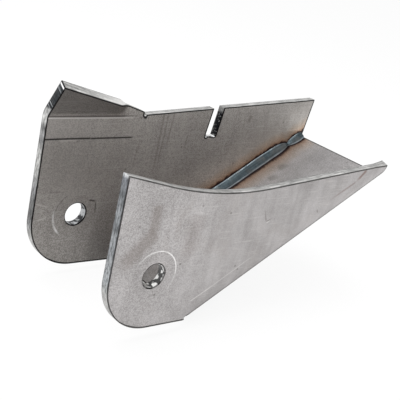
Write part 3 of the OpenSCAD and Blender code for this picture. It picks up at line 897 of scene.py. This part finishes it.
# %% Laser-cut edge
def cut_edge(name, rim, rim_strength, end_tones, bore_tone):
    """Metal with lines that are narrow along the cut and long across it, and a dark line of painted edge
    shade at both faces.
    """
    material, tree = new_material(name)
    run = add(tree, "UVMap", uv_map="run")
    where = add(tree, "TexCoord", out="Object")
    # cut lines, drawn at 0.7 mm, about twice the real spacing, so that they show
    lines = mottle(tree, run, (1500, 130, 1), 3.0, 0.7)
    # bright and dull patches about 7 mm long
    patches = mottle(tree, where, 140.0, 4.0, 0.6)
    tone = 0.0
    for part, share in [(lines, 0.55), (patches, 0.9)]:
        tone = add(tree, "Math", [part, share, tone], operation="MULTIPLY_ADD")
    colour = add(tree, "ValToRGB", [tone], stops=[(0.50, "#868685"), (0.95, "#CBCAC8")])
    # bright streaks along the cut, about 10 mm long and 1 mm wide, where it is polished
    polished = mottle(tree, run, (100, 1000, 1), 2.0, 0.6, (0.52, 0.64, 0.0, 0.7))
    colour = add(tree, "Mix", {0: polished, 6: colour, 7: linear("#F0EFED")}, 2, data_type="RGBA")
    # the beam enters at the front: the first third of the cut is smooth and bright, the rest is duller
    depth = add(tree, "SeparateXYZ", [run], "Y")
    drag = add(tree, "MapRange", [depth, 0.0013, 0.0024, 1.0, 0.78])
    colour = add(tree, "VectorMath", {0: colour, "Scale": drag}, operation="SCALE")
    # both faces get a dark line, painted shade where the rounded edge turns away; at the left ends the far
    # one, at the outline's far side, is painted wider
    left, layers = end_layers(tree, run, where, end_tones, rim)
    depth = add(tree, "Math", [depth, sheet_t * mm / 2], operation="SUBTRACT")
    far_edge_shade = product(tree, (depth, 0.0018, 0.0021, 0.0, rim_strength), left)
    depth = add(tree, "Math", [depth], operation="ABSOLUTE")
    edge_shade = add(tree, "MapRange", [depth, 0.0019, 0.00215, 0.0, rim_strength])
    edge_shade = add(tree, "Math", [edge_shade, far_edge_shade], operation="MAXIMUM")
    for mask, tint in layers + opening_layers(tree, where, bore_tone) + [(edge_shade, linear(rim))]:
        colour = add(tree, "Mix", {0: mask, 6: colour, 7: tint}, 2, data_type="RGBA")
    metal_surface(tree, colour, (tone, 0.5, 1.0, 0.5, 0.3), lines, 0.35, 0.0004)
    return material


print("the cut is", sheet_t, "mm deep")

# %% Edges of plate and cheek
# tone of the left ends at heights in mm; the cheek's last, near-white stop is a painted highlight on its
# upper corner
plate_tones = [(-22, "#C8C8C7"), (-5, "#A8A8A8"), (0, "#727272"), (9, "#808080"), (16, "#A4A4A6"),
               (24, "#C2C2C0"), (32, "#D8D8D6"), (37, "#BABAB8"), (40.5, "#929293"), (44, "#AEAEAE"),
               (48, "#7E7E7E"), (52, "#F0F0EE"), (56, "#C6C6C5")]
cheek_tones = [(-20, "#DCDDDB"), (-6, "#C8C9C7"), (0, "#B6BABD"), (10, "#B0B3B6"), (14, "#9A9DA1"),
               (22, "#AEB1B4"), (26, "#7C7F82"), (31, "#A0A4A7"), (36, "#9FA2A6"), (42, "#7E8285"),
               (47, "#8B8E93"), (50, "#93969C"), (51.5, "#ECEEF0")]
# rim is the colour of the painted edge shade along both faces and of the lip's dark corner
plate_edge = cut_edge("laser_cut_steel_edge_plate", "#161515", 0.96, plate_tones, "#B2B4B6")
cheek_edge = cut_edge("laser_cut_steel_edge_cheek", "#2C2928", 0.84, cheek_tones, "#EAEAE9")
for piece, *finishes in [(back_plate, plate_steel, plate_edge), (cheek, cheek_steel, cheek_edge)]:
    for finish in finishes:
        piece.data.materials.append(finish)
        print(piece.name, "wears", finish.name)

# %% [markdown]
# ## Weld metal
# A machine-laid bead cools under a thin film of oxide, so it is a smooth blue-grey metal. It is brighter
# along both toes. The across coordinate of its UV map says how far a point is from a toe.

# %% Weld metal
def bead_metal(name):
    """Dark blue-grey metal, with silver toes by the UV's second coordinate and oxide patches by noise."""
    material, tree = new_material(name)
    where = add(tree, "TexCoord", out="Object")
    run = add(tree, "UVMap", uv_map="run")
    spread = add(tree, "MapRange", [add(tree, "SeparateXYZ", [run], "Y"), 0.0, 0.010])
    across = add(tree, "ValToRGB", [spread], stops=[
        (0.0, "#33373A"), (1.0, "#33373A"), (0.07, "#6F777B"), (0.14, "#C4CBD1"), (0.20, "#A3ABB1"),
        (0.27, "#5A656A"), (0.34, "#525C61"), (0.74, "#485155"), (0.82, "#646D72"), (0.88, "#8E969B"),
        (0.93, "#5C6468")])
    # fine streaks along the run, 25 mm long and about 0.7 mm wide
    brushed = mottle(tree, run, (40, 900, 1), 2.0, 0.6, (0.3, 0.7, 0.72, 1.34))
    across = add(tree, "VectorMath", {0: across, "Scale": brushed}, operation="SCALE")
    oxide = mottle(tree, where, 420.0, 4.0, 0.65)
    film = add(tree, "ValToRGB", [oxide], stops=[(0.3, "#C4CACD"), (0.7, "#FFFFFF")])
    colour = add(tree, "Mix", {0: 1.0, 6: across, 7: film}, 2, data_type="RGBA", blend_type="MULTIPLY")
    # straw-brown tint in patches of about 6 mm, where the film is thinner
    straw = mottle(tree, where, 170.0, 2.0, 0.5, (0.48, 0.7, 0.0, 0.35))
    colour = add(tree, "Mix", {0: straw, 6: colour, 7: linear("#6A645E")}, 2, data_type="RGBA")
    metal_surface(tree, colour, (oxide, 0.3, 0.7, 0.45, 0.3), oxide, 0.15, 0.0003)
    return material


weld_metal = bead_metal("oxide_blue_mild_steel_weld")
for piece in (long_weld, short_weld):
    piece.data.materials.append(weld_metal)
    print(piece.name, "wears", weld_metal.name)

# %% [markdown]
# ## Studio
# The bracket stands on a plain white floor in even light. For the camera, and for the metal
# that mirrors it, floor and surroundings are white; the floor still takes the shadow.

# %% Floor and world
def seen_rays(tree):
    """The light path, and 1 for rays from the camera, off metal and through glass, else 0."""
    ray = add(tree, "LightPath", out=None)
    seen = ray.outputs["Is Camera Ray"]
    for other in ("Is Glossy Ray", "Is Transmission Ray"):
        seen = add(tree, "Math", [seen, ray.outputs[other]], operation="MAXIMUM")
    return ray, seen


def studio_floor(level, half=4.0):
    """A flat square at the given height, white, with part of its light its own so that shadows stay soft."""
    mesh = bpy.data.meshes.new("studio_floor")
    corners = [(-half, -half, level), (half, -half, level), (half, half, level), (-half, half, level)]
    mesh.from_pydata(corners, [], [(0, 1, 2, 3)])
    floor = bpy.data.objects.new("studio_floor", mesh)
    bpy.context.scene.collection.objects.link(floor)
    material, tree = new_material("white_paper_floor")
    ray, seen = seen_rays(tree)
    paper = add(tree, "BsdfDiffuse", {"Color": linear("#F2F2F2")})
    glow = add(tree, "Emission", {"Color": linear("#FFFFFF"), "Strength": seen})
    share = add(tree, "MapRange", {0: ray.outputs["Is Camera Ray"], 3: 0.35, 4: 0.88})
    white = add(tree, "MixShader", [share, paper, glow])
    add(tree, "OutputMaterial", [white], None)
    mesh.materials.append(material)
    return floor


floor_z = cad_box[0][2] - 0.0005  # half a millimetre under the bracket
floor = studio_floor(floor_z)
world = bpy.data.worlds.new("white_studio")
bpy.context.scene.world = world
world.use_nodes = True
sky_tree = world.node_tree
sky_tree.nodes.clear()
level = add(sky_tree, "MapRange", {0: seen_rays(sky_tree)[1], 3: 0.85, 4: 1.0})
sky = add(sky_tree, "Background", {"Color": linear("#FFFFFF"), "Strength": level})
add(sky_tree, "OutputWorld", [sky], None)
print(floor.name, "lies at", round(floor_z, 4), "m")

# %% [markdown]
# ## Lamps and camera
# Two large soft lamps give the top edges a gleam. The camera was solved from the outline in
# the photograph: its matrix holds the picture's right, up and backward directions.

# %% Lamps
def soft_lamp(name, offset, size, watts):
    """A square area lamp at an offset from the bracket's middle; its -Z axis points back at it."""
    data = bpy.data.lights.new(name, "AREA")
    data.size, data.energy = size, watts
    lamp = bpy.data.objects.new(name, data)
    lamp.location = centre + np.array(offset)
    lamp.rotation_euler = (Vector(centre) - lamp.location).to_track_quat("-Z", "Y").to_euler()
    bpy.context.scene.collection.objects.link(lamp)
    print(name, watts, "W")


centre = (np.array(cad_box[0]) + np.array(cad_box[1])) / 2
soft_lamp("overhead_softbox", (-0.2, 0.1, 1.2), 0.9, 9.0)
soft_lamp("left_softbox", (-1.0, -0.7, 0.7), 0.7, 5.0)

# %% Camera
right = (0.7494453, -0.6269444, 0.2127732)
down = (-0.0759030, -0.4006212, -0.9130944)
forward = (0.6577009, 0.6681642, -0.3478306)
stand = (-0.220168, -0.279491, 0.163326)
camera_data = bpy.data.cameras.new("photo_camera")
camera_data.sensor_width, camera_data.lens = 36.0, 70.315
camera_data.clip_start, camera_data.clip_end = 0.01, 50.0
camera = bpy.data.objects.new("photo_camera", camera_data)
turn = Matrix((right, [-v for v in down], [-v for v in forward])).transposed()
camera.matrix_world = Matrix.Translation(stand) @ turn.to_4x4()
bpy.context.scene.collection.objects.link(camera)
bpy.context.scene.camera = camera
bpy.context.scene.view_settings.view_transform = "Standard"
print("camera stands", round(Vector(stand).length, 3), "m from the bolt's middle")

# %% [markdown]
# ## Finish
# The scene is brought up to date. The dressed bracket must be no larger than its
# solids.

# %% Finish
bpy.context.view_layer.update()
